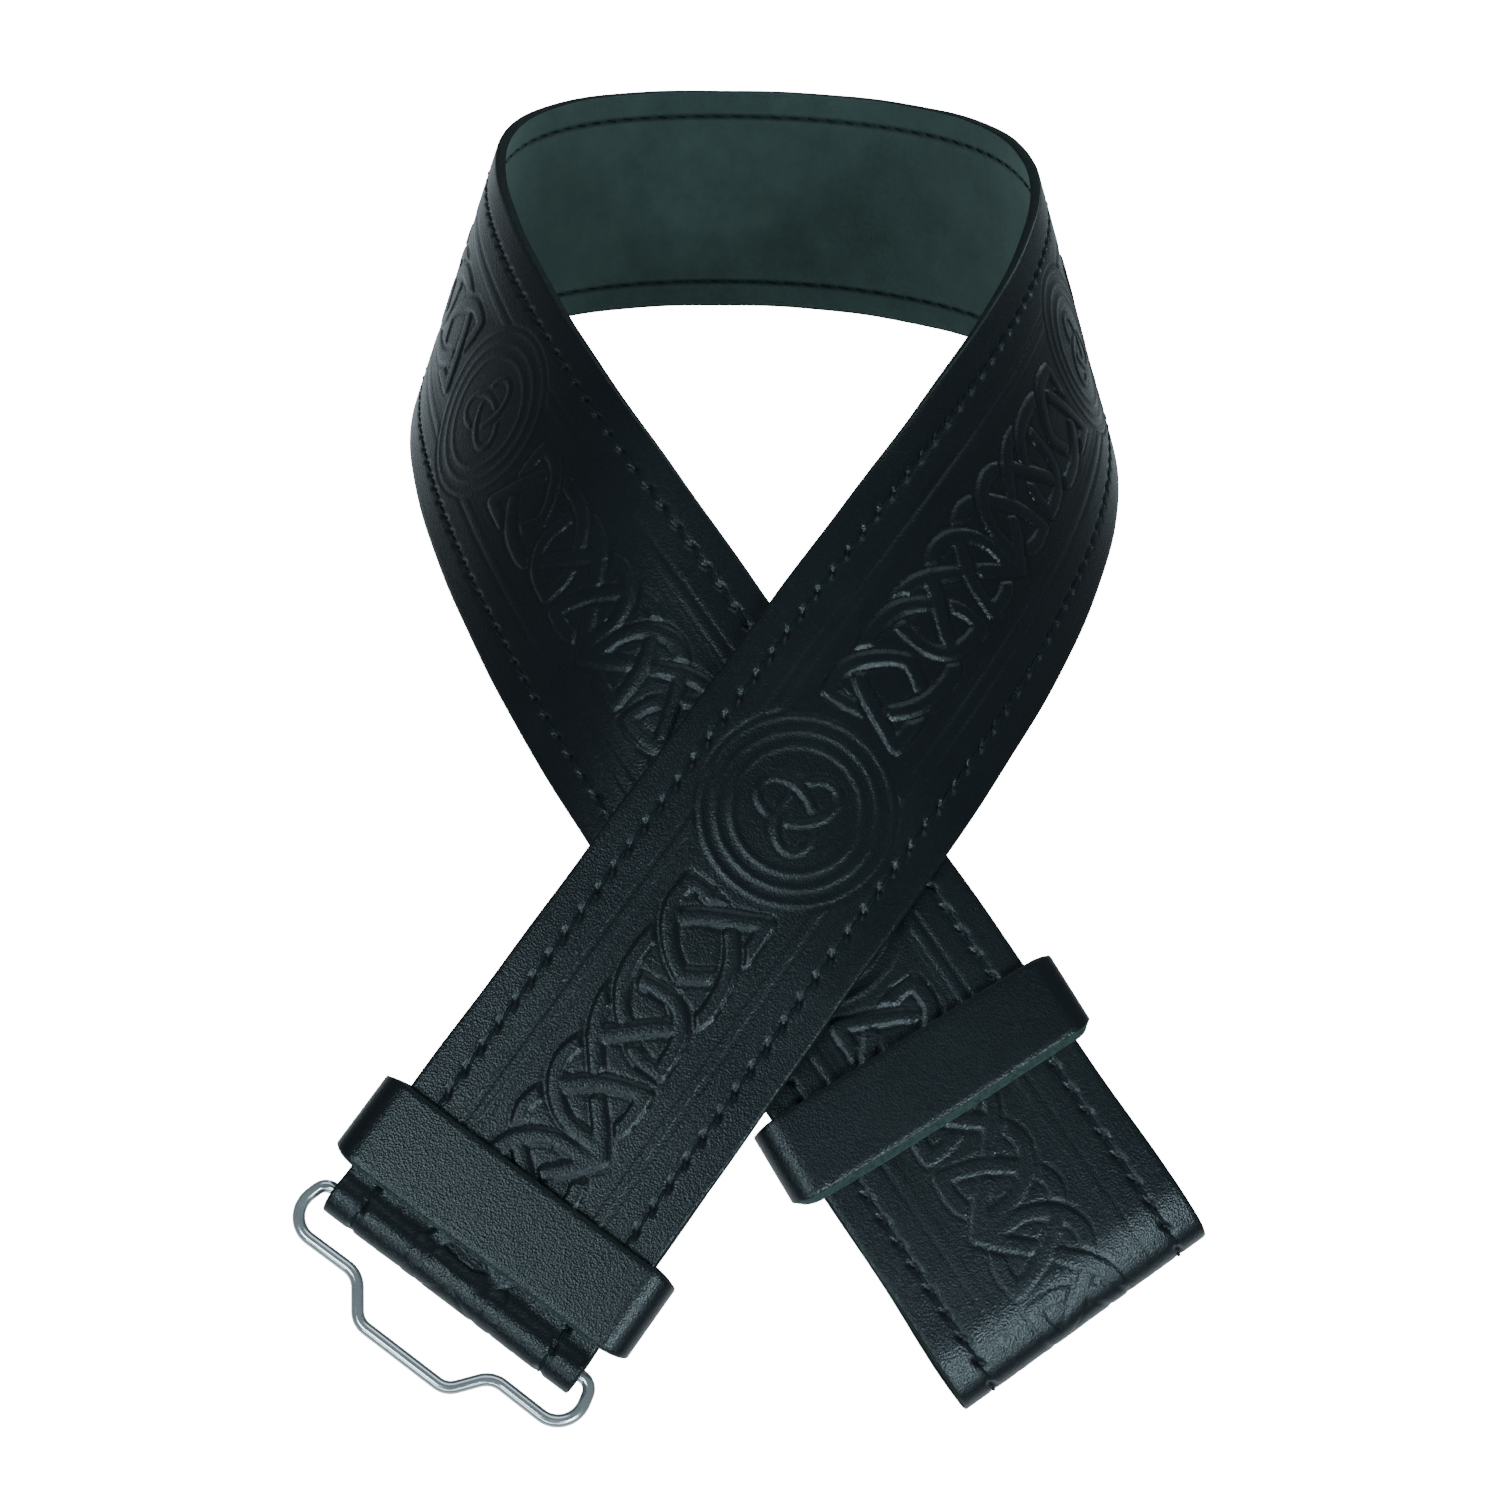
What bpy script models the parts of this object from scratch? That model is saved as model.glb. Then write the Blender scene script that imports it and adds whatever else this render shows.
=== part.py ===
"""Kilt belt: a wide leather strap bent into a crossed loop that stands on its own edge.

The arm on the +X side crosses in front and ends in a fold that holds a wire buckle loop.
The arm on the -X side crosses behind and ends in a plain, looser fold.
A leather keeper sits on each end. Metres, +Z up, the viewer is on the -Y side.
"""

import math
from collections import namedtuple

import bmesh
import bpy
from mathutils import Matrix, Vector

# Strap
STRAP_WIDTH = 0.057
STRAP_THICKNESS = 0.0026
EDGE_BEVEL = 0.0005
LAYER_GAP = 0.0004
STRAP_STEP = 0.006

# The arm on the +X side is the right one, the arm on the -X side the left one
RIGHT = 1
LEFT = -1

# Laid flat, the bend lines of each arm meet in one point this far above the middle of the back
APEX_HEIGHT = {RIGHT: 0.2145, LEFT: 0.2087}

# How strongly each arm bends, in 1/m, at distances from the middle of the back along the strap
Bend = namedtuple("Bend", "distance right left")
BENDS = (
    Bend(0.000, 16.2, 16.2),
    Bend(0.045, 13.0, 14.8),
    Bend(0.090, 10.3, 12.6),
    Bend(0.135, 7.8, 7.8),
    Bend(0.180, 5.9, 3.7),
    Bend(0.230, 6.9, 5.6),
    Bend(0.260, 6.0, 7.1),
    Bend(0.300, 0.0, 0.0),
)

# End folds, seen from the strap's edge: the run-in bends down, the turn goes round,
# and the flap comes back up at an angle until it lies under the strap
Fold = namedtuple("Fold", "reach flap run_radius run_angle turn_radius flap_angle back_radius")
BUCKLE_FOLD = Fold(0.4080, 0.044, 0.015, 4.0, 0.0028, 24.0, 0.008)
PLAIN_FOLD = Fold(0.4100, 0.078, 0.024, 20.0, 0.0055, 35.0, 0.020)
ARC_STEP = 15.0

# Keepers: closed leather rings round both layers. The spread is room for a flap that stands off
# the strap, and the skew is how far a ring has been pulled round on the strap, in degrees.
Keeper = namedtuple("Keeper", "name side far_edge spread skew")
KEEPER_WIDTH = 0.0175
KEEPER_WALL = 0.0022
KEEPER_SLACK = 0.0003
KEEPER_SIDE_SLACK = 0.0025
KEEPER_CORNER = 0.0022
KEEPER_CORNER_STEPS = 4
KEEPERS = (
    Keeper("keeper_left", RIGHT, 0.3978, 0.0014, 0.0),
    Keeper("keeper_right", LEFT, 0.3640, 0.0000, -3.0),
)

# Buckle loop: bent wire whose straight bar turns freely inside the buckle fold
WIRE_RADIUS = 0.0012
WIRE_SIDES = 10
LOOP_LIFT = 13.0
Corner = namedtuple("Corner", "along reach radius")
LOOP_CORNERS = (
    Corner(0.0315, 0.0000, 0.0024),
    Corner(0.0315, 0.0105, 0.0045),
    Corner(0.0155, 0.0105, 0.0030),
    Corner(0.0094, 0.0182, 0.0030),
)

# The belt stands on a face of its hull that looks about this way in the strap's own frame
DOWN_GUESS = Vector((0.0, -0.92, -0.39))
LOOKS_DOWN = 0.97

# Edges sharper than this, in degrees, are shaded sharp
SHARP_FROM = 30.0

# Colours: near-black leather and bright chromed wire
LEATHER_COLOUR = (0.010, 0.014, 0.017, 1.0)
WIRE_COLOUR = (0.80, 0.82, 0.84, 1.0)


def clear_scene():
    """Remove what the file opened with."""
    for thing in list(bpy.data.objects):
        bpy.data.objects.remove(thing, do_unlink=True)


def make_material(name, colour, roughness, metallic):
    """One plain Principled material."""
    material = bpy.data.materials.new(name)
    material.use_nodes = True
    shader = material.node_tree.nodes["Principled BSDF"]
    shader.inputs["Base Color"].default_value = colour
    shader.inputs["Roughness"].default_value = roughness
    shader.inputs["Metallic"].default_value = metallic
    return material


def bend_at(distance, side):
    """Bend in 1/m of one arm, read along the straight line between two rows of the table."""
    for near, far in zip(BENDS, BENDS[1:]):
        if distance <= far.distance:
            share = (distance - near.distance) / (far.distance - near.distance)
            if side == RIGHT:
                return near.right + share * (far.right - near.right)
            return near.left + share * (far.left - near.left)
    return 0.0


def arm_frames(side):
    """Walk along one arm; each stop is its signed distance, centre point and turn.

    The turn's columns point along the strap (towards +X at the back), across it towards the
    upper edge, and inwards.
    """
    flat_from = BENDS[-1].distance
    steps = round(flat_from / STRAP_STEP)
    step = flat_from / steps
    centre = Vector((0.0, 0.0, 0.0))
    turn = Matrix.Identity(3)
    stops = [(0.0, centre.copy(), turn.copy())]
    for count in range(steps):
        middle = (count + 0.5) * step
        bend = bend_at(middle, side)
        slope = -side * middle / APEX_HEIGHT[side]
        spin = Vector((-bend * slope, -bend, 0.0)) * step * side
        half_turn = turn @ Matrix.Rotation(spin.length / 2, 3, spin)
        centre += half_turn.col[0] * step * side
        turn = turn @ Matrix.Rotation(spin.length, 3, spin)
        stops.append((side * (count + 1) * step, centre.copy(), turn.copy()))
    return stops


def strap_outline():
    """Strap section as (across, out) pairs: a thin rectangle with bevelled corners."""
    half = STRAP_WIDTH / 2
    skin = STRAP_THICKNESS / 2
    corners = []
    for across, out in ((1, 1), (-1, 1), (-1, -1), (1, -1)):
        long_side = (across * (half - EDGE_BEVEL), out * skin)
        short_side = (across * half, out * (skin - EDGE_BEVEL))
        if across * out > 0:
            corners += [short_side, long_side]
        else:
            corners += [long_side, short_side]
    return corners


def bent_section(stop, side):
    """Section of the bent part, lying along one bend line."""
    distance, centre, turn = stop
    along, up, inward = turn.col
    bend_line = up - distance / APEX_HEIGHT[side] * along
    return [centre + across * bend_line - out * inward for across, out in strap_outline()]


def fold_path(fold):
    """Middle line of a fold as (distance, depth, heading), from the run-in to the flap's end."""
    flap_depth = STRAP_THICKNESS + LAYER_GAP
    run_angle = math.radians(fold.run_angle)
    flap_angle = math.radians(fold.flap_angle)
    sink = fold.run_radius * (1 - math.cos(run_angle))
    sink += fold.turn_radius * (math.cos(run_angle) + math.cos(flap_angle))
    rise = fold.back_radius * (1 - math.cos(flap_angle))
    slant = (sink - rise - flap_depth) / math.sin(flap_angle)
    pieces = (
        (fold.run_radius, run_angle),
        (fold.turn_radius, math.pi + flap_angle - run_angle),
        (slant, None),
        (-fold.back_radius, -flap_angle),
    )
    distance = 0.0
    depth = 0.0
    heading = 0.0
    path = [(distance, depth, heading)]
    for size, angle in pieces:
        if angle is None:
            distance += size * math.cos(heading)
            depth += size * math.sin(heading)
            path.append((distance, depth, heading))
            continue
        steps = max(2, round(abs(math.degrees(angle)) / ARC_STEP))
        for _ in range(steps):
            turned = heading + angle / steps
            distance += size * (math.sin(turned) - math.sin(heading))
            depth += size * (math.cos(heading) - math.cos(turned))
            heading = turned
            path.append((distance, depth, heading))
    furthest = max(distance for distance, _, _ in path) + STRAP_THICKNESS / 2
    path = [(fold.reach + here - furthest, down, way) for here, down, way in path]
    path.append((fold.reach - fold.flap, depth, heading))
    return path


def flat_sections(side, fold):
    """Sections of a flat arm end, its fold and its flap, beyond the last bend line."""
    last, centre, turn = arm_frames(side)[-1]
    along, up, inward = turn.col
    sections = []
    for distance, depth, heading in fold_path(fold):
        middle = centre + (side * distance - last) * along + depth * inward
        outwards = -math.cos(heading) * inward + math.sin(heading) * side * along
        sections.append([middle + across * up + out * outwards for across, out in strap_outline()])
    return sections


def loft(mesh_name, sections, closed=False):
    """Skin a row of equal sections; an open row gets a cap at each end."""
    mesh = bpy.data.meshes.new(mesh_name)
    grid = bmesh.new()
    rings = [[grid.verts.new(point) for point in section] for section in sections]
    pairs = list(zip(rings, rings[1:]))
    if closed:
        pairs.append((rings[-1], rings[0]))
    for near, far in pairs:
        for here in range(len(near)):
            after = (here + 1) % len(near)
            grid.faces.new((near[here], near[after], far[after], far[here]))
    if not closed:
        grid.faces.new(rings[0])
        grid.faces.new(reversed(rings[-1]))
    bmesh.ops.recalc_face_normals(grid, faces=grid.faces)
    grid.to_mesh(mesh)
    grid.free()
    return mesh


def add_object(name, mesh, material, parent):
    """Put a mesh in the scene as a named piece under its parent."""
    mesh.materials.append(material)
    mesh.shade_smooth()
    mesh.set_sharp_from_angle(angle=math.radians(SHARP_FROM))
    piece = bpy.data.objects.new(name, mesh)
    bpy.context.scene.collection.objects.link(piece)
    piece.parent = parent
    return piece


def strap_mesh():
    """The whole strap from the end of the plain flap to the end of the buckle flap."""
    left_end = flat_sections(LEFT, PLAIN_FOLD)
    left_bends = [bent_section(stop, LEFT) for stop in arm_frames(LEFT)]
    right_bends = [bent_section(stop, RIGHT) for stop in arm_frames(RIGHT)]
    right_end = flat_sections(RIGHT, BUCKLE_FOLD)
    return loft("strap", left_end[::-1] + left_bends[:0:-1] + right_bends + right_end)


def arm_end_matrix(side, distance, depth):
    """Place on a flat arm end: X across to the upper edge, Y along to the fold, Z out."""
    last, centre, turn = arm_frames(side)[-1]
    along, up, inward = turn.col
    middle = centre + (side * distance - last) * along + depth * inward
    across = up * side
    place = Matrix((across, side * along, -inward)).transposed().to_4x4()
    place.translation = middle
    return place


def rounded_rectangle(width, height, radius):
    """Points round a rectangle with round corners, centred, anticlockwise."""
    points = []
    for corner in range(4):
        start = corner * math.pi / 2
        middle_x = (width / 2 - radius) * (1 if corner in (0, 3) else -1)
        middle_z = (height / 2 - radius) * (1 if corner in (0, 1) else -1)
        for step in range(KEEPER_CORNER_STEPS + 1):
            angle = start + step / KEEPER_CORNER_STEPS * math.pi / 2
            points.append((middle_x + radius * math.cos(angle), middle_z + radius * math.sin(angle)))
    return points


def keeper_depth(keeper):
    """Inside depth of a keeper: two layers, their gap, slack, and what the flap still spreads."""
    return 2 * STRAP_THICKNESS + LAYER_GAP + 2 * KEEPER_SLACK + keeper.spread


def keeper_mesh(keeper):
    """A ring with round corners, as long as the keeper is wide."""
    depth = keeper_depth(keeper)
    width = STRAP_WIDTH + 2 * KEEPER_SIDE_SLACK
    inside = rounded_rectangle(width, depth, KEEPER_CORNER)
    outside = rounded_rectangle(
        width + 2 * KEEPER_WALL, depth + 2 * KEEPER_WALL, KEEPER_CORNER + KEEPER_WALL
    )
    mesh = bpy.data.meshes.new(keeper.name)
    grid = bmesh.new()
    loops = []
    for outline in (inside, outside):
        for end in (-KEEPER_WIDTH / 2, KEEPER_WIDTH / 2):
            loops.append([grid.verts.new((x, end, z)) for x, z in outline])
    inner_near, inner_far, outer_near, outer_far = loops
    strips = (
        (inner_near, inner_far), (outer_far, outer_near),
        (outer_near, inner_near), (inner_far, outer_far),
    )
    for first, second in strips:
        for here in range(len(first)):
            after = (here + 1) % len(first)
            grid.faces.new((first[here], first[after], second[after], second[here]))
    bmesh.ops.recalc_face_normals(grid, faces=grid.faces)
    grid.to_mesh(mesh)
    grid.free()
    return mesh


def loop_path():
    """Middle line of the bent wire as (along, reach) points, its corners rounded."""
    mirrored = [Corner(-corner.along, corner.reach, corner.radius) for corner in LOOP_CORNERS]
    corners = list(LOOP_CORNERS) + mirrored[::-1]
    path = []
    for place, corner in enumerate(corners):
        here = Vector((corner.along, corner.reach))
        before = corners[place - 1]
        after = corners[(place + 1) % len(corners)]
        from_before = (here - Vector((before.along, before.reach))).normalized()
        to_after = (Vector((after.along, after.reach)) - here).normalized()
        turned = from_before.angle_signed(to_after)
        cut = corner.radius * math.tan(abs(turned) / 2)
        start = here - cut * from_before
        steps = max(3, round(abs(math.degrees(turned)) / ARC_STEP))
        for step in range(steps + 1):
            angle = turned * step / steps
            aside = Vector((-from_before.y, from_before.x)) * (-1 if turned > 0 else 1)
            ahead = corner.radius * math.sin(abs(angle))
            swing = corner.radius * (1 - math.cos(angle))
            path.append(start + ahead * from_before + swing * aside)
    return path


def loop_mesh():
    """The wire swept round its closed path; X runs along the bar, Y reaches outwards."""
    path = loop_path()
    rings = []
    for place, here in enumerate(path):
        ahead = (path[(place + 1) % len(path)] - path[place - 1]).normalized()
        aside = Vector((-ahead.y, ahead.x, 0.0))
        ring = []
        for side in range(WIRE_SIDES):
            angle = 2 * math.pi * side / WIRE_SIDES
            offset = math.cos(angle) * aside + math.sin(angle) * Vector((0, 0, 1))
            ring.append(here.to_3d() + WIRE_RADIUS * offset)
        rings.append(ring)
    return loft("wire_loop", rings, closed=True)


def bar_distance():
    """How far along the strap, and how deep, the buckle fold turns round its bar."""
    reach = BUCKLE_FOLD.reach - STRAP_THICKNESS / 2 - BUCKLE_FOLD.turn_radius
    run_angle = math.radians(BUCKLE_FOLD.run_angle)
    sunk = BUCKLE_FOLD.run_radius * (1 - math.cos(run_angle))
    return reach, sunk + BUCKLE_FOLD.turn_radius * math.cos(run_angle)


def standing_turn(points):
    """Turn that sets the belt on the widest face of its hull that looks down."""
    grid = bmesh.new()
    for point in points:
        grid.verts.new(point)
    hull = bmesh.ops.convex_hull(grid, input=grid.verts)
    facing = [
        face for face in hull["geom"]
        if isinstance(face, bmesh.types.BMFace) and face.normal.dot(DOWN_GUESS) > LOOKS_DOWN
    ]
    resting = max(facing, key=lambda face: face.calc_area())
    up = -resting.normal
    grid.free()
    right = (Vector((1, 0, 0)) - up.x * up).normalized()
    return Matrix((right, up.cross(right), up)).to_4x4()


def main():
    """Build the belt and stand it on the surface, centred over the origin."""
    clear_scene()
    leather = make_material("leather", LEATHER_COLOUR, 0.5, 0.0)
    chrome = make_material("chrome_wire", WIRE_COLOUR, 0.15, 1.0)

    stand = bpy.data.objects.new("belt_stand", None)
    bpy.context.scene.collection.objects.link(stand)

    strap = add_object("strap", strap_mesh(), leather, stand)
    pieces = [strap]

    for keeper in KEEPERS:
        ring = add_object(keeper.name, keeper_mesh(keeper), leather, stand)
        top_to_middle = keeper_depth(keeper) / 2 - STRAP_THICKNESS / 2 - KEEPER_SLACK
        place = arm_end_matrix(keeper.side, keeper.far_edge - KEEPER_WIDTH / 2, top_to_middle)
        ring.matrix_local = place @ Matrix.Rotation(math.radians(keeper.skew), 4, "Z")
        pieces.append(ring)

    wire = add_object("wire_loop", loop_mesh(), chrome, stand)
    wire.matrix_local = arm_end_matrix(RIGHT, *bar_distance()) @ Matrix.Rotation(
        math.radians(LOOP_LIFT), 4, "X"
    )
    pieces.append(wire)

    turn = standing_turn([corner.co for corner in strap.data.vertices])
    stand.matrix_world = turn
    bpy.context.view_layer.update()
    points = [piece.matrix_world @ corner.co for piece in pieces for corner in piece.data.vertices]
    lows = [min(point[axis] for point in points) for axis in range(3)]
    highs = [max(point[axis] for point in points) for axis in range(3)]
    shift = Vector((-(lows[0] + highs[0]) / 2, -(lows[1] + highs[1]) / 2, -lows[2]))
    stand.matrix_world = Matrix.Translation(shift) @ turn
    bpy.context.view_layer.update()


main()
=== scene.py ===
"""Looks of the kilt belt: embossed and stitched leather strap, two keepers and a wire buckle loop.

Everything is built in the strap's own frame, where the middle of the back is the origin, X runs
along the back, Y across the strap to its upper edge and Z inwards. The belt is then stood on the
surface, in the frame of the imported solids. Lengths in the tables are metres unless they say mm.
"""

import itertools
import math
from collections import namedtuple

import bmesh
import bpy
import numpy as np
from mathutils import Matrix, Vector


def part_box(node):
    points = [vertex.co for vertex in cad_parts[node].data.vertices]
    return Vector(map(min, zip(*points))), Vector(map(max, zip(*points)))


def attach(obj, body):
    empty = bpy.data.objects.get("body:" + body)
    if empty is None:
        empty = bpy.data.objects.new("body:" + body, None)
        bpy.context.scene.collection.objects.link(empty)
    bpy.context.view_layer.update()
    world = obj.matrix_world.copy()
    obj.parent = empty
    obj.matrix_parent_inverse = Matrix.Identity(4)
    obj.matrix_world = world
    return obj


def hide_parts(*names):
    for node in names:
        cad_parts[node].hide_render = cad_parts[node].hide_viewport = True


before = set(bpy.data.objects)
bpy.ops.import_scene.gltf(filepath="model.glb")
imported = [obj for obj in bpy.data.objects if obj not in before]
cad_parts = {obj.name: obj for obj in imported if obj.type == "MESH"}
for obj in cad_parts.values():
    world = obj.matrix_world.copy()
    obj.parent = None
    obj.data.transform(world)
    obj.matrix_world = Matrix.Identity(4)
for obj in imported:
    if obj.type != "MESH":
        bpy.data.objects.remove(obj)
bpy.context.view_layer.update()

MM = 0.001
RIGHT = 1
LEFT = -1

# Strap, as in the solid model, and folds that are shown a little fuller than the solid's
STRAP_WIDTH = 0.057
STRAP_THICKNESS = 0.0026
EDGE_BEVEL = 0.0005
LAYER_GAP = 0.0004
COARSE_STEP = 0.006
FINE_STEP = 0.001
APEX_HEIGHT = {RIGHT: 0.2145, LEFT: 0.2087}
Bend = namedtuple("Bend", "distance right left")
BENDS = (
    Bend(0.000, 16.2, 16.2),
    Bend(0.045, 13.0, 14.8),
    Bend(0.090, 10.3, 12.6),
    Bend(0.135, 7.8, 7.8),
    Bend(0.180, 5.9, 3.7),
    Bend(0.230, 6.9, 5.6),
    Bend(0.260, 6.0, 7.1),
    Bend(0.300, 0.0, 0.0),
)
LAST_BEND = BENDS[-1].distance
Fold = namedtuple("Fold", "reach flap run_radius run_angle turn_radius flap_angle back_radius")
FOLDS = {
    RIGHT: Fold(0.4080, 0.044, 0.015, 4.0, 0.0028, 24.0, 0.008),
    LEFT: Fold(0.4100, 0.078, 0.024, 20.0, 0.0055, 35.0, 0.020),
}
SHOWN_FOLDS = {
    RIGHT: Fold(0.4080, 0.044, -0.006, -28.0, 0.0034, 24.0, 0.008),
    LEFT: FOLDS[LEFT],
}
COARSE_ARC = 15.0
FINE_ARC = 3.0
DOWN_GUESS = Vector((0.0, -0.92, -0.39))
LOOKS_DOWN = 0.97
BOX_TOLERANCE = 0.0003

# Pieces of the strap from left to right, in mm: where each ends and how far apart its rows are.
# The last one ends where the strap ends.
Stretch = namedtuple("Stretch", "name end spacing")
STRETCHES = (
    Stretch("strap_rear_flap", -428.0, 1.2),
    Stretch("strap_rear_tip", -330.0, 0.42),
    Stretch("strap_rear_arm", -155.0, 0.42),
    Stretch("strap_back", 120.0, 0.5),
    Stretch("strap_front_arm", 225.0, 0.42),
    Stretch("strap_front_tip", 428.0, 0.42),
    Stretch("strap_front_flap", None, 1.2),
)

# Columns of the strap's section, in mm, and unevenness of its leather
CORNER_SOFTNESS = 0.55
MARGIN_SPACING = 0.9
RELIEF_HALF = 23.8
RELIEF_SPACING = 0.41
SUEDE_SPACING = 3.0
SEAM_HALF = 1.5
SEAM_SPACING = 0.5
WANDER_SHARE = 0.4
EDGE_WANDER = 0.12

# Keepers and buckle loop, close to the solid model
Keeper = namedtuple("Keeper", "name side far_edge spread skew skive")
KEEPER_WIDTH = 0.0175
KEEPER_WALL = 0.0022
KEEPER_SLACK = 0.0003
KEEPER_SIDE_SLACK = 0.0025
KEEPER_BULGE = 0.0012
KEEPER_ROUNDNESS = 0.97
KEEPER_CORNER_STEPS = 12
KEEPER_STRAIGHT_STEPS = 60
KEEPER_NARROWING = 0.09
KEEPERS = (
    Keeper("keeper_left", RIGHT, 0.3978, 0.0014, 0.0, 0.5),
    Keeper("keeper_right", LEFT, 0.3640, 0.0000, -3.0, 1.3),
)
WIRE_RADIUS = 0.0012
WIRE_SIDES = 28
WIRE_ARC = 4.0
LOOP_LIFT = 13.0
Corner = namedtuple("Corner", "along reach radius")
LOOP_CORNERS = (
    Corner(0.0312, 0.0000, 0.0026),
    Corner(0.0337, 0.0099, 0.0052),
    Corner(0.0157, 0.0097, 0.0050),
    Corner(0.0102, 0.0164, 0.0042),
)

# Embossing, in mm: panels of knotwork between round medallions
MEDALLIONS = (-453.0, -316.0, -179.0, -14.0, 153.0, 294.9, 445.5)
PATTERN_SHIFT = 0.1
KNOT_SHIFT = -0.4
PANEL_HALF = 54.5
PANEL_CORDS = 55.6
MEDALLION_ROOM = 20.5
MEDALLION_BLEND = 0.5
KNOT_ROOM = 12.5
FIELD_LEVEL = -0.28
FIELD_SLOPE = 1.2
LINES = (13.6, 16.3)
LINE_HALF = 0.85
LINE_DEPTH = 0.22
RING_RADII = (18.6, 15.6, 12.6)
RING_HALF = 1.0
CORD_HALF = 1.75
TREFOIL_HALF = 1.0
TREFOIL_REACH = 8.6
TREFOIL_TURN = 30.0
TREFOIL_POINTS = 160
RIDGE_TOP = 0.15
RIDGE_CROWN = 0.14
RIDGE_WALL = 0.50
GROOVE_LEVEL = -0.42
MOAT = 0.55
CROSSING_LEVEL = -0.38
CROSSING_GAP = 0.7
CROSSING_SLOPE = 0.5
MEDALLION_SHARE = 0.50

# Flattened embossing, in mm: how deep it is left and from which depth on, then where it lies
WORN_FIELD = 0.03
WORN_FIELD_FROM = 0.05
WORN_FIELD_RUN = 0.20
WORN_CREASE = 0.11
WORN_CREASE_FROM = 0.30
WORN_CREASE_RUN = 0.10
Wear = namedtuple("Wear", "side start run most")
WEARS = (
    Wear(LEFT, 60.0, 40.0, 0.4),
    Wear(LEFT, 345.0, 30.0, 0.9),
    Wear(RIGHT, 397.0, 5.0, 0.9),
)

# Stitching: lengths and depths in mm, the taper and the inner dents as shares
STITCH_PITCH = 5.2
STITCH_LENGTH = 3.9
STITCH_ROW = 21.9
STITCH_SLANT = 0.25
SLANT_SPREAD = 0.08
STITCH_SINK = 0.12
STITCH_DIP = 0.62
THREAD_RADIUS = 0.34
THREAD_TAPER = 0.35
THREAD_SIDES = 8
THREAD_SPANS = 6
CHANNEL_DEPTH = 0.14
CHANNEL_HALF = 0.75
INNER_DENT_SHARE = 0.6
HOLE_LENGTH = 1.0
HOLE_WIDTH = 0.52
HOLE_DEPTH = 0.72
HOLE_SLANT = 0.45


def smooth_step(share):
    """0 below 0, 1 above 1 and a smooth rise between."""
    share = np.clip(share, 0.0, 1.0)
    return share * share * (3.0 - 2.0 * share)


def mix(first, second, share):
    """The first at share 0, the second at share 1 and a straight line between."""
    return first + (second - first) * share


# The strap's surface


def bend_at(distance, side):
    """Bend in 1/m of one arm, read along the straight line between two rows of the table."""
    for near, far in zip(BENDS, BENDS[1:]):
        if distance <= far.distance:
            share = (distance - near.distance) / (far.distance - near.distance)
            if side == RIGHT:
                return near.right + share * (far.right - near.right)
            return near.left + share * (far.left - near.left)
    return 0.0


def arm_frames(side, rough_step):
    """Walk along one arm; each stop is its signed distance, centre point and turn."""
    steps = round(LAST_BEND / rough_step)
    step = LAST_BEND / steps
    centre = Vector((0.0, 0.0, 0.0))
    turn = Matrix.Identity(3)
    stops = [(0.0, centre.copy(), turn.copy())]
    for count in range(steps):
        middle = (count + 0.5) * step
        bend = bend_at(middle, side)
        slope = -side * middle / APEX_HEIGHT[side]
        spin = Vector((-bend * slope, -bend, 0.0)) * step * side
        half_turn = turn @ Matrix.Rotation(spin.length / 2, 3, spin)
        centre += half_turn.col[0] * step * side
        turn = turn @ Matrix.Rotation(spin.length, 3, spin)
        stops.append((side * (count + 1) * step, centre.copy(), turn.copy()))
    return stops


def fold_path(fold, arc_step):
    """Middle line of a fold as (distance, depth, heading), from the run-in to the flap's end."""
    flap_depth = STRAP_THICKNESS + LAYER_GAP
    run_angle = math.radians(fold.run_angle)
    flap_angle = math.radians(fold.flap_angle)
    sink = fold.run_radius * (1 - math.cos(run_angle))
    sink += fold.turn_radius * (math.cos(run_angle) + math.cos(flap_angle))
    rise = fold.back_radius * (1 - math.cos(flap_angle))
    slant = (sink - rise - flap_depth) / math.sin(flap_angle)
    pieces = (
        (fold.run_radius, run_angle),
        (fold.turn_radius, math.pi + flap_angle - run_angle),
        (slant, None),
        (-fold.back_radius, -flap_angle),
    )
    distance = 0.0
    depth = 0.0
    heading = 0.0
    path = [(distance, depth, heading)]
    for size, angle in pieces:
        if angle is None:
            distance += size * math.cos(heading)
            depth += size * math.sin(heading)
            path.append((distance, depth, heading))
            continue
        steps = max(2, round(abs(math.degrees(angle)) / arc_step))
        for _ in range(steps):
            turned = heading + angle / steps
            distance += size * (math.sin(turned) - math.sin(heading))
            depth += size * (math.cos(heading) - math.cos(turned))
            heading = turned
            path.append((distance, depth, heading))
    furthest = max(distance for distance, _, _ in path) + STRAP_THICKNESS / 2
    path = [(fold.reach + here - furthest, down, way) for here, down, way in path]
    path.append((fold.reach - fold.flap, depth, heading))
    return path


def columns_of(stops):
    """Distances, centres and the three directions of an arm's stops as arrays."""
    distances = np.array([abs(stop[0]) for stop in stops])
    centres = np.array([stop[1] for stop in stops])
    turns = np.array([stop[2] for stop in stops])
    return distances, centres, turns[:, :, 0], turns[:, :, 1], turns[:, :, 2]


def read_rows(where, places, rows):
    """Rows of a table read at the given places, column by column."""
    return np.stack([np.interp(where, places, rows[:, axis]) for axis in range(3)], axis=-1)


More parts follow.
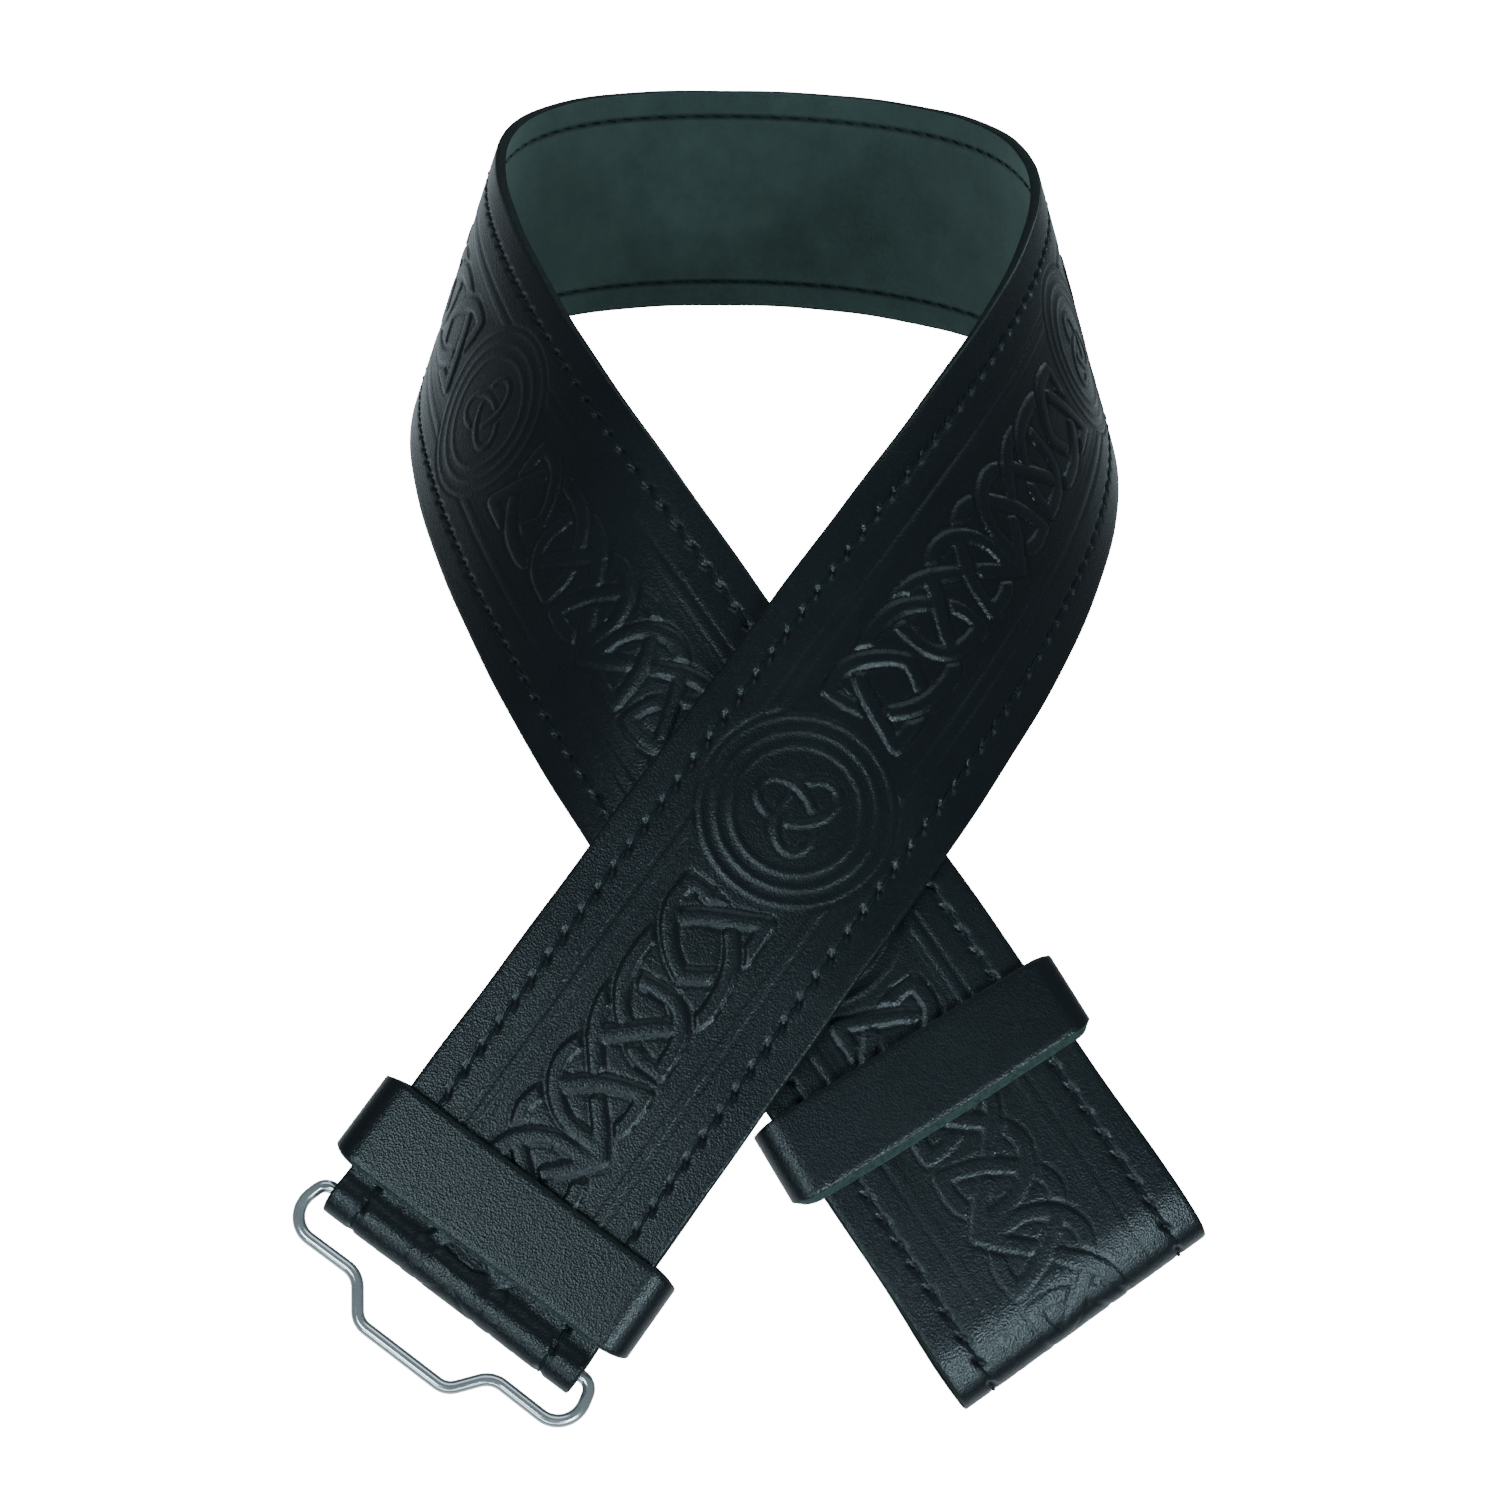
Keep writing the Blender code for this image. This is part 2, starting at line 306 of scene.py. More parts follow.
class Arm:
    """One half of the strap, from the middle of the back to the end of its flap."""

    def __init__(self, side):
        self.side = side
        stops = arm_frames(side, FINE_STEP)
        self.distances, self.centres, self.alongs, self.ups, self.inwards = columns_of(stops)
        path = [(LAST_BEND, 0.0, 0.0)] + fold_path(SHOWN_FOLDS[side], FINE_ARC)
        places = np.array(path)
        hops = np.hypot(np.diff(places[:, 0]), np.diff(places[:, 1]))
        self.path_places = places
        self.path_lengths = LAST_BEND + np.concatenate(([0.0], np.cumsum(hops)))
        self.length = self.path_lengths[-1]

    def points(self, along, across, lift):
        """Places on the strap: along and across it as it lies flat, lifted off its middle layer."""
        apex = APEX_HEIGHT[self.side]
        distance = np.minimum(along / (1.0 - across / apex), LAST_BEND)
        bent = along < LAST_BEND * (1.0 - across / apex)
        centre = read_rows(distance, self.distances, self.centres)
        ahead = read_rows(distance, self.distances, self.alongs)
        up = read_rows(distance, self.distances, self.ups)
        inward = read_rows(distance, self.distances, self.inwards)
        lean = (self.side * distance / apex)[..., None]
        on_bend = centre + across[..., None] * (up - lean * ahead) - lift[..., None] * inward
        reach = np.interp(along, self.path_lengths, self.path_places[:, 0])
        reach = np.where(along < LAST_BEND, along, reach)
        depth = np.interp(along, self.path_lengths, self.path_places[:, 1])
        heading = np.interp(along, self.path_lengths, self.path_places[:, 2])
        out = (
            -np.cos(heading)[..., None] * self.inwards[-1]
            + np.sin(heading)[..., None] * self.side * self.alongs[-1]
        )
        on_flat = (
            self.centres[-1]
            + (self.side * (reach - LAST_BEND))[..., None] * self.alongs[-1]
            + across[..., None] * self.ups[-1]
            + depth[..., None] * self.inwards[-1]
            + lift[..., None] * out
        )
        return np.where(bent[..., None], on_bend, on_flat)


ARMS = {side: Arm(side) for side in (RIGHT, LEFT)}


def strap_points(along, across, lift):
    """Places on the whole strap; along is negative on the left arm."""
    along, across, lift = np.broadcast_arrays(along, across, lift)
    right = ARMS[RIGHT].points(np.abs(along), across, lift)
    left = ARMS[LEFT].points(np.abs(along), across, lift)
    return np.where((along >= 0)[..., None], right, left)


# Standing the belt on the surface


def coarse_outline():
    """Corners of the strap's section as (across, out) pairs, as in the solid model."""
    half = STRAP_WIDTH / 2
    skin = STRAP_THICKNESS / 2
    corners = []
    for across, out in ((1, 1), (-1, 1), (-1, -1), (1, -1)):
        corners.append((across * (half - EDGE_BEVEL), out * skin))
        corners.append((across * half, out * (skin - EDGE_BEVEL)))
    return corners


def coarse_points():
    """The solid strap's corners, in the strap's own frame."""
    points = []
    for side in (RIGHT, LEFT):
        stops = arm_frames(side, COARSE_STEP)
        for distance, centre, turn in stops:
            along, up, inward = turn.col
            bend_line = up - distance / APEX_HEIGHT[side] * along
            points += [centre + a * bend_line - out * inward for a, out in coarse_outline()]
        last, centre, turn = stops[-1]
        along, up, inward = turn.col
        for distance, depth, heading in fold_path(FOLDS[side], COARSE_ARC):
            middle = centre + (side * distance - last) * along + depth * inward
            out_way = -math.cos(heading) * inward + math.sin(heading) * side * along
            points += [middle + a * up + out * out_way for a, out in coarse_outline()]
    return points


def standing_place():
    """Matrix from the strap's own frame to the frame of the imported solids."""
    points = coarse_points()
    grid = bmesh.new()
    for point in points:
        grid.verts.new(point)
    hull = bmesh.ops.convex_hull(grid, input=grid.verts)
    facing = [
        face for face in hull["geom"]
        if isinstance(face, bmesh.types.BMFace) and face.normal.dot(DOWN_GUESS) > LOOKS_DOWN
    ]
    resting = max(facing, key=lambda face: face.calc_area())
    up = -resting.normal
    grid.free()
    right = (Vector((1, 0, 0)) - up.x * up).normalized()
    turn = Matrix((right, up.cross(right), up)).to_4x4()
    turned = [turn @ point for point in points]
    lows = Vector([min(point[axis] for point in turned) for axis in range(3)])
    highs = Vector([max(point[axis] for point in turned) for axis in range(3)])
    strap_low, strap_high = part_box("strap")
    shift = ((strap_low - lows) + (strap_high - highs)) / 2
    miss = max(abs(value) for value in (strap_low - lows) - (strap_high - highs))
    if miss > BOX_TOLERANCE:
        raise ValueError(f"the strap's box is {miss / MM:.2f} mm away from the solid's")
    return Matrix.Translation(shift) @ turn


STAND = standing_place()


def arm_end_matrix(side, distance, depth):
    """Place on a flat arm end: X across to the upper edge, Y along to the fold, Z out."""
    arm = ARMS[side]
    along = Vector(arm.alongs[-1])
    up = Vector(arm.ups[-1])
    inward = Vector(arm.inwards[-1])
    middle = Vector(arm.centres[-1]) + side * (distance - LAST_BEND) * along + depth * inward
    place = Matrix((up * side, side * along, -inward)).transposed().to_4x4()
    place.translation = middle
    return place


# Embossing

# The knot of half a panel, in mm from the panel's middle: the other half is its mirror image.
# Over is 1 where the cord runs over another one and 0 where it runs under, and a corner is sharp.
Turn = namedtuple("Turn", "along across over corner", defaults=(1, False))
LONG_LACE = (
    Turn(0.0, -8.2, corner=True),
    Turn(-4.5, -4.8),
    Turn(-8.0, -1.6),
    Turn(-11.4, 1.0, over=0),
    Turn(-14.0, 3.2),
    Turn(-17.4, 5.9),
    Turn(-21.5, 8.2),
    Turn(-26.0, 9.0, over=0),
    Turn(-30.0, 8.0, over=0),
    Turn(-31.4, 4.0),
    Turn(-31.4, -2.2),
    Turn(-28.4, -6.0),
    Turn(-24.0, -7.5),
    Turn(-19.0, -7.8, corner=True),
    Turn(-19.3, -2.6),
    Turn(-22.0, 2.0, over=0),
    Turn(-25.5, 5.8),
    Turn(-29.5, 8.1),
    Turn(-34.5, 9.0),
    Turn(-39.0, 8.8),
    Turn(-43.4, 7.6, over=0),
    Turn(-46.9, 4.4),
    Turn(-50.3, -1.6),
    Turn(-53.6, -8.0, corner=True),
    Turn(-46.5, -8.2),
    Turn(-41.6, -7.0, over=0),
    Turn(-38.8, -4.2),
    Turn(-36.3, -0.2, corner=True),
    Turn(-38.6, 3.6),
    Turn(-42.6, 7.4),
    Turn(-47.0, 9.3),
    Turn(-52.0, 9.0, corner=True),
    Turn(-51.9, 4.8),
    Turn(-50.6, -0.2, over=0),
    Turn(-48.2, -3.2),
    Turn(-45.0, -5.8),
    Turn(-41.0, -7.7),
    Turn(-36.0, -8.5),
    Turn(-31.8, -8.3),
    Turn(-28.8, -6.2, over=0),
    Turn(-26.0, -2.8),
    Turn(-21.4, 2.3),
    Turn(-17.9, 5.9, over=0),
    Turn(-14.2, 8.2),
    Turn(-10.3, 8.7),
    Turn(-6.3, 7.1),
    Turn(-3.3, 4.0),
    Turn(-1.8, 0.4),
    Turn(-1.6, -3.2),
    Turn(-1.4, -7.0, over=0),
)
SHORT_LACE = (
    Turn(0.0, 9.3),
    Turn(-2.6, 8.6),
    Turn(-5.6, 6.9, over=0),
    Turn(-8.0, 4.4),
    Turn(-10.8, 0.9),
    Turn(-12.8, -3.2),
    Turn(-14.3, -8.1, corner=True),
    Turn(-10.0, -8.4),
    Turn(-6.4, -7.8),
    Turn(-3.4, -5.6, over=0),
)
LACE_STEPS = 8
NEIGHBOURS = 16
OVER_MARGIN = 0.15
BRIDGE_REACH = 7
CHUNK = 4000
FAR_AWAY = 1e3


def curve_between(before, start, end, after, share):
    """Smooth curve from start to end that leaves towards its neighbours."""
    return 0.5 * (
        2 * start
        + (end - before) * share
        + (2 * before - 5 * start + 4 * end - after) * share ** 2
        + (3 * start - before - 3 * end + after) * share ** 3
    )


def lace_line(turns):
    """Closely spaced places (along, across) on a cord, and how far over each one lies."""
    spots = np.array([(turn.along, turn.across) for turn in turns])
    places = []
    over = []
    for here in range(len(turns) - 1):
        start, end = spots[here], spots[here + 1]
        before = start if turns[here].corner or here == 0 else spots[here - 1]
        stop = here + 2 >= len(turns) or turns[here + 1].corner
        after = end if stop else spots[here + 2]
        for step in range(LACE_STEPS):
            share = step / LACE_STEPS
            places.append(curve_between(before, start, end, after, share))
            over.append(mix(turns[here].over, turns[here + 1].over, share))
    return np.array(places), np.array(over)


def rotated(places, degrees):
    """Places turned about the origin."""
    angle = math.radians(degrees)
    along = places[:, 0] * math.cos(angle) - places[:, 1] * math.sin(angle)
    across = places[:, 0] * math.sin(angle) + places[:, 1] * math.cos(angle)
    return np.stack([along, across], axis=-1)


def trefoil_line():
    """The three-lobed knot in the middle of a medallion, woven over and under."""
    angle = np.linspace(0, 2 * math.pi, TREFOIL_POINTS, endpoint=False)
    across = np.sin(angle) + 2 * np.sin(2 * angle)
    along = np.cos(angle) - 2 * np.cos(2 * angle)
    places = np.stack([along, across], axis=-1) * (TREFOIL_REACH / 3.0)
    return rotated(places, TREFOIL_TURN), 0.5 + 0.5 * np.sin(3 * angle)


def nearest(spots, places):
    """Distance from each spot to the nearest of the places."""
    distance = np.full(len(spots), FAR_AWAY)
    for start in range(0, len(spots), CHUNK):
        part = spots[start:start + CHUNK]
        gaps = (part[:, None, 0] - places[None, :, 0]) ** 2
        gaps += (part[:, None, 1] - places[None, :, 1]) ** 2
        distance[start:start + CHUNK] = np.sqrt(gaps.min(axis=1))
    return distance


def ridge(distance, half, below):
    """Height of a pressed ridge with a crown and steep walls, and the moat beside it."""
    crown = RIDGE_TOP - RIDGE_CROWN * np.minimum(distance / half, 1.0) ** 2
    beside = smooth_step((half + MOAT - distance) / MOAT)
    moat = mix(below, np.minimum(GROOVE_LEVEL, below), beside)
    return mix(moat, crown, smooth_step((half - distance) / RIDGE_WALL))


def bridges(lines, clear):
    """Marks on each line the places that run over another cord, within clear of it."""
    marks = []
    for here, (places, over) in enumerate(lines):
        order = np.arange(len(places))
        mark = np.zeros(len(places), bool)
        for there, (others, lower) in enumerate(lines):
            gaps = np.hypot(*(places[:, None] - others[None]).transpose(2, 0, 1))
            crossing = (gaps < clear) & (over[:, None] > lower[None] + OVER_MARGIN)
            if here == there:
                apart = np.abs(order[:, None] - order[None])
                crossing &= np.minimum(apart, len(order) - apart) > NEIGHBOURS
            mark |= crossing.any(axis=1)
        marks.append(mark)
    return marks


def woven(spots, lines, half, below):
    """Height of cords that weave: a lower cord stops on both sides of the one over it."""
    height = ridge(nearest(spots, np.concatenate([line[0] for line in lines])), half, below)
    marks = bridges(lines, half + CROSSING_GAP)
    middle = np.concatenate([line[0][mark] for line, mark in zip(lines, marks)])
    distance = nearest(spots, middle)
    cleared = smooth_step((half + CROSSING_GAP + CROSSING_SLOPE - distance) / CROSSING_SLOPE)
    height = mix(height, np.minimum(CROSSING_LEVEL, height), cleared)
    spread = np.ones(2 * BRIDGE_REACH + 1)
    longer = [np.convolve(mark, spread, mode="same") > 0 for mark in marks]
    beams = np.concatenate([line[0][mark] for line, mark in zip(lines, longer)])
    return np.maximum(height, ridge(nearest(spots, beams), half, height))


def panel_height(spots):
    """Height of the knotwork at spots (along, across) from the middle of a panel, in mm."""
    mirrored = []
    for turns in (LONG_LACE, SHORT_LACE):
        places, over = lace_line(turns)
        mirrored.append((places, over))
        mirrored.append((places * (-1, 1), over))
    return woven(spots, mirrored, CORD_HALF, np.full(len(spots), FIELD_LEVEL))


def medallion_height(spots):
    """Height of three rings round a three-lobed knot, in mm from the medallion's middle."""
    radius = np.hypot(spots[:, 0], spots[:, 1])
    height = np.full(len(spots), FIELD_LEVEL)
    for ring in RING_RADII:
        height = mix(height, RIDGE_TOP, smooth_step(1.0 - np.abs(radius - ring) / RING_HALF))
    inner = radius < RING_RADII[-1] - RING_HALF
    height[inner] = woven(spots[inner], [trefoil_line()], TREFOIL_HALF, height[inner])
    return mix(FIELD_LEVEL, height, MEDALLION_SHARE)


def worn_share(along):
    """How far the embossing is flattened, from 0 to 1: most where the leather was folded."""
    share = np.zeros(along.shape)
    for wear in WEARS:
        flattened = wear.most * smooth_step((wear.side * along - wear.start) / wear.run)
        share = np.maximum(share, flattened)
    return share


def worn(height):
    """Height of flattened embossing: low fields, with fine creases round the cords."""
    field = WORN_FIELD * smooth_step((-height - WORN_FIELD_FROM) / WORN_FIELD_RUN)
    crease = WORN_CREASE * smooth_step((-height - WORN_CREASE_FROM) / WORN_CREASE_RUN)
    return -field - crease


def embossing(along, across):
    """Height of the embossed side over its plain margin, in mm, at places in mm."""
    across = across - PATTERN_SHIFT
    off_middle = np.abs(across)
    height = FIELD_LEVEL * smooth_step((LINES[0] - off_middle) / FIELD_SLOPE)
    for line in LINES:
        height -= LINE_DEPTH * smooth_step(1.0 - np.abs(off_middle - line) / LINE_HALF)
    edge = RING_RADII[0] + RING_HALF
    rim = edge + MEDALLION_BLEND
    for middle in MEDALLIONS:
        here = np.hypot(along - middle, across) < rim
        spots = np.stack([along[here] - middle, across[here]], axis=-1)
        share = smooth_step((rim - np.hypot(spots[:, 0], spots[:, 1])) / MEDALLION_BLEND)
        height[here] = mix(height[here], medallion_height(spots), share)
    for first, second in zip(MEDALLIONS, MEDALLIONS[1:]):
        middle = (first + second) / 2
        stretch = ((second - first) / 2 - MEDALLION_ROOM) / PANEL_HALF
        local = (along - middle) / stretch
        clear = np.minimum(np.hypot(along - first, across), np.hypot(along - second, across))
        here = (np.abs(local) < PANEL_CORDS) & (off_middle < KNOT_ROOM) & (clear > edge)
        spots = np.stack([local[here], across[here] - KNOT_SHIFT], axis=-1)
        height[here] = panel_height(spots)
    return mix(height, worn(height), worn_share(along))


# Stitch rows


def stitch_places():
    """Middles of the stitches along the strap, in mm."""
    left_end = -ARMS[LEFT].length / MM + 2 * STITCH_PITCH
    right_end = ARMS[RIGHT].length / MM - 2 * STITCH_PITCH
    return np.arange(left_end, right_end, STITCH_PITCH)


def stitch_rows():
    """Where the two stitch rows lie across the strap, in mm."""
    return (STITCH_ROW + PATTERN_SHIFT, -STITCH_ROW + PATTERN_SHIFT)


def stitch_dents(along, across):
    """How deep the stitches press into the leather, in mm: a soft channel and the awl holes."""
    phase = (along - stitch_places()[0]) / STITCH_PITCH + 0.5
    phase = (phase - np.round(phase)) * STITCH_PITCH
    dent = np.zeros(along.shape)
    for row in stitch_rows():
        aside = across - row
        slanted = aside + HOLE_SLANT * phase
        dent += CHANNEL_DEPTH * np.exp(-((aside / CHANNEL_HALF) ** 2))
        hole = (slanted / HOLE_WIDTH) ** 2 + (phase / HOLE_LENGTH) ** 2
        dent += HOLE_DEPTH * np.exp(-hole)
    return dent


# Strap pieces

OUTER, EDGE, INNER = range(3)


def section_columns():
    """Columns round the strap's section as (across, lift, face), in mm, from the upper edge."""
    half = STRAP_WIDTH / MM / 2
    skin = STRAP_THICKNESS / MM / 2
    soft = CORNER_SOFTNESS
    outer = list(np.arange(half - soft, RELIEF_HALF + MARGIN_SPACING / 2, -MARGIN_SPACING))
    outer += list(np.arange(RELIEF_HALF, 0, -RELIEF_SPACING))
    outer += [-across for across in reversed(outer)]
    seam = np.arange(-SEAM_HALF, SEAM_HALF + SEAM_SPACING / 2, SEAM_SPACING)
    inner = [row + aside for row in stitch_rows() for aside in seam]
    inner += list(np.arange(-half + soft, half - soft, SUEDE_SPACING))
    inner = sorted(inner) + [half - soft]
    lower_edge = [
        (-half + 0.18, skin - 0.12, EDGE),
        (-half, skin - soft, EDGE),
        (-half - 0.05, 0.0, EDGE),
        (-half, -skin + soft, EDGE),
        (-half + 0.15, -skin + 0.15, EDGE),
    ]
    columns = [(float(across), skin, OUTER) for across in outer]
    columns += lower_edge
    columns += [(float(across), -skin, INNER) for across in inner]
    columns += [(-across, lift, EDGE) for across, lift, _ in reversed(lower_edge[1:])]
    return columns + [(-lower_edge[0][0], lower_edge[0][1], OUTER)]


def wander(along, across):
    """Slow unevenness of the leather, in mm."""
    return (
        0.10 * np.sin(along / 9.0 + 0.8 * np.sin(across / 11.0))
        + 0.12 * np.sin(along / 23.0 + across / 17.0 + 1.3)
        + 0.06 * np.sin(along / 4.7 - across / 8.0)
    )


def edge_wander(along):
    """Unevenness of the cut edges, in mm."""
    return EDGE_WANDER * np.sin(along / 6.1) * np.sin(along / 17.0 + 2.0)


def new_mesh(name, points, faces):
    """A mesh of the given corner points and faces."""
    mesh = bpy.data.meshes.new(name)
    mesh.from_pydata(points, [], faces)
    return mesh


def new_object(name, data):
    """An object in the scene that shows the data."""
    thing = bpy.data.objects.new(name, data)
    bpy.context.scene.collection.objects.link(thing)
    return thing


def strap_piece(name, start, end, spacing, materials):
    """One length of the strap from start to end, in mm along it, as a closed mesh."""
    across, lift, faces = (np.array(column) for column in zip(*section_columns()))
    outer = faces == OUTER
    inner = faces == INNER
    rows = max(2, round((end - start) / spacing) + 1)
    along = np.linspace(start, end, rows)
    along_grid, across_grid = np.meshgrid(along, across, indexing="ij")
    flat_along = along_grid[:, outer].ravel()
    flat_across = across_grid[:, outer].ravel()
    height = embossing(flat_along, flat_across) - stitch_dents(flat_along, flat_across)
    relief = np.zeros(along_grid.shape)
    relief[:, outer] = height.reshape(rows, outer.sum())
    lift_grid = lift + relief
    inner_dents = stitch_dents(along_grid[:, inner], across_grid[:, inner])
    lift_grid[:, inner] += INNER_DENT_SHARE * inner_dents
    near_edge = (np.abs(across) / across.max()) ** 8
    across_grid = across_grid + edge_wander(along)[:, None] * near_edge
    lift_grid = lift_grid + WANDER_SHARE * wander(along_grid, across_grid)
    points = strap_points(along_grid * MM, across_grid * MM, lift_grid * MM)
    count = len(faces)
    corners = np.arange(rows * count).reshape(rows, count)
    after = np.roll(corners, -1, axis=1)
    quads = np.stack([corners[:-1], corners[1:], after[1:], after[:-1]], axis=-1).reshape(-1, 4)
    caps = [corners[0].tolist(), corners[-1][::-1].tolist()]
    mesh = new_mesh(name, points.reshape(-1, 3).tolist(), quads.tolist() + caps)
    slots = np.tile(faces, rows - 1).tolist() + [EDGE, EDGE]
    mesh.polygons.foreach_set("material_index", slots)
    flat_place = np.stack([along_grid, across_grid, np.zeros_like(along_grid)], axis=-1)
    add_layer(mesh, "flat_place", "FLOAT_VECTOR", flat_place)
    add_layer(mesh, "relief", "FLOAT", relief)
    return place_piece(name, mesh, materials)


def add_layer(mesh, name, kind, values):
    """Store a value at each corner point for the material to read."""
    layer = mesh.attributes.new(name, kind, "POINT")
    key = "vector" if kind == "FLOAT_VECTOR" else "value"
    layer.data.foreach_set(key, np.ascontiguousarray(values, np.float32).ravel())


def place_piece(name, mesh, materials, body="belt", place=STAND):
    """Finish a mesh as a piece of the belt: outward faces, smooth shading, materials, a body."""
    for material in materials:
        mesh.materials.append(material)
    grid = bmesh.new()
    grid.from_mesh(mesh)
    bmesh.ops.recalc_face_normals(grid, faces=grid.faces)
    grid.transform(place)
    grid.to_mesh(mesh)
    grid.free()
    mesh.shade_smooth()
    mesh.set_sharp_from_angle(angle=math.radians(50))
    piece = new_object(name, mesh)
    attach(piece, body)
    return piece


# Materials


class Nodes:
    """Short way to write a node tree."""

    def __init__(self, name):
        self.material = bpy.data.materials.new(name)
        self.material.use_nodes = True
        self.tree = self.material.node_tree
        self.shader = self.tree.nodes["Principled BSDF"]

    def place(self):
        """The place on the piece, for a pattern to follow."""
        return (self.add("ShaderNodeTexCoord"), "Object")

    def add(self, kind, inputs=None, **settings):
        """A new node; inputs are values or (node, output name) pairs."""
        node = self.tree.nodes.new(kind)
        for key, value in settings.items():
            setattr(node, key, value)
        for key, value in (inputs or {}).items():
            self.put(node, key, value)
        return node

    def put(self, node, key, value):
        """Set an input, or link it."""
        if isinstance(value, tuple) and isinstance(value[0], bpy.types.Node):
            self.tree.links.new(value[0].outputs[value[1]], node.inputs[key])
        else:
            node.inputs[key].default_value = value

    def shade(self, **inputs):
        for key, value in inputs.items():
            self.put(self.shader, key.replace("_", " "), value)

    def noise(self, place, scale, detail=4.0, roughness=0.55):
        return self.add(
            "ShaderNodeTexNoise",
            {"Vector": place, "Scale": scale, "Detail": detail, "Roughness": roughness},
        )

    def ramp(self, value, low, high, start, end):
        """Map value from low..high to start..end."""
        return self.add(
            "ShaderNodeMapRange",
            {"Value": value, "From Min": low, "From Max": high, "To Min": start, "To Max": end},
        )

    def bump(self, height, strength, distance):
        """Fine roughness of the surface, its depth in metres."""
        inputs = {"Strength": strength, "Distance": distance, "Height": height}
        return (self.add("ShaderNodeBump", inputs), 0)

    def blend(self, share, first, second):
        """Blend two colours."""
        node = self.add("ShaderNodeMix", data_type="RGBA")
        self.put(node, 0, share)
        self.put(node, 6, first)
        self.put(node, 7, second)
        return (node, 2)

    def math(self, operation, first, second):
        node = self.add("ShaderNodeMath", operation=operation)
        self.put(node, 0, first)
        self.put(node, 1, second)
        return (node, 0)


LEATHER_DARK = (0.0052, 0.0068, 0.0088, 1)
LEATHER_LIGHT = (0.0085, 0.0112, 0.0125, 1)
# Darker colour painted into the hollows of the embossing: painted shade
LEATHER_PAINTED_SHADE = (0.0042, 0.0054, 0.0066, 1)
LEATHER_TINT = (0.62, 0.88, 1.0, 1)
LEATHER_SHEEN = (0.6, 0.85, 0.78, 1)
SUEDE_DARK = (0.042, 0.066, 0.061, 1)
SUEDE_LIGHT = (0.071, 0.106, 0.097, 1)
SUEDE_FIBRE = (0.09, 0.125, 0.112, 1)
SUEDE_SEAM = (0.008, 0.013, 0.013, 1)
SUEDE_SHEEN = (0.55, 0.72, 0.66, 1)
DYED_EDGE_DARK = (0.006, 0.010, 0.010, 1)
DYED_EDGE_LIGHT = (0.018, 0.027, 0.026, 1)
RAW_EDGE_DARK = (0.020, 0.036, 0.033, 1)
RAW_EDGE_LIGHT = (0.075, 0.115, 0.103, 1)
THREAD_DARK = (0.005, 0.008, 0.010, 1)
THREAD_LIGHT = (0.014, 0.020, 0.023, 1)
CHROME_DARK = (0.78, 0.82, 0.85, 1)
CHROME_LIGHT = (0.94, 0.96, 0.97, 1)


def grain_leather(name, embossed):
    """Black finished leather with a fine pebbled grain, and painted shade in its embossed hollows.
    """
    nodes = Nodes(name)
    place = nodes.place()
    pebbles = nodes.add("ShaderNodeTexVoronoi", {"Vector": place, "Scale": 2400.0}, feature="F1")
    grain = nodes.noise(place, 1300.0, 6.0, 0.7)
    patches = nodes.noise(place, 45.0, 3.0)
    tone = nodes.ramp((patches, "Fac"), 0.35, 0.7, 0.0, 1.0)
    colour = nodes.blend((tone, 0), LEATHER_DARK, LEATHER_LIGHT)
    roughness = (nodes.ramp((grain, "Fac"), 0.3, 0.7, 0.42, 0.58), 0)
    if embossed:
        # Painted shade: the hollows of the embossing are coloured darker, and they are also made a
        # little rougher.
        relief = nodes.add("ShaderNodeAttribute", attribute_name="relief")
        low = nodes.ramp((relief, "Fac"), -0.45, -0.15, 1.0, 0.0)
        colour = nodes.blend((low, 0), colour, LEATHER_PAINTED_SHADE)
        roughness = nodes.math("ADD", roughness, nodes.math("MULTIPLY", (low, 0), 0.07))
    height = nodes.math("ADD", (pebbles, "Distance"), nodes.math("MULTIPLY", (grain, "Fac"), 0.8))
    bump = nodes.bump(height, 0.55, 0.0001)
    nodes.shade(Base_Color=colour, Roughness=roughness, Normal=bump, IOR=1.5)
    nodes.shade(Specular_IOR_Level=0.10, Specular_Tint=LEATHER_TINT)
    nodes.shade(Coat_Weight=0.9, Coat_Roughness=0.26, Coat_Normal=bump)
    nodes.shade(Sheen_Weight=0.03, Sheen_Roughness=0.4, Sheen_Tint=LEATHER_SHEEN)
    return nodes.material


def suede():
    """The flesh side: dark green-grey nap with cloudy patches, darker along its seams."""
    nodes = Nodes("suede")
    place = nodes.place()
    cloud = nodes.noise(place, 70.0, 5.0, 0.6)
    nap = nodes.noise(place, 1400.0, 4.0, 0.75)
    tone = nodes.ramp((cloud, "Fac"), 0.3, 0.72, 0.0, 1.0)
    colour = nodes.blend((tone, 0), SUEDE_DARK, SUEDE_LIGHT)
    fibre = nodes.ramp((nap, "Fac"), 0.3, 0.75, 0.0, 0.35)
    colour = nodes.blend((fibre, 0), colour, SUEDE_FIBRE)
    flat_place = nodes.add("ShaderNodeAttribute", attribute_name="flat_place")
    across = nodes.add("ShaderNodeSeparateXYZ", {"Vector": (flat_place, "Vector")})
    for row in stitch_rows():
        aside = nodes.math("ABSOLUTE", nodes.math("SUBTRACT", (across, "Y"), row), 0.0)
        seam = nodes.ramp(aside, 0.3, 1.1, 0.75, 0.0)
        colour = nodes.blend((seam, 0), colour, SUEDE_SEAM)
    bump = nodes.bump((nap, "Fac"), 0.6, 0.0002)
    nodes.shade(Base_Color=colour, Roughness=0.92, Specular_IOR_Level=0.2, Normal=bump)
    nodes.shade(Sheen_Weight=0.25, Sheen_Roughness=0.6, Sheen_Tint=SUEDE_SHEEN)
    return nodes.material


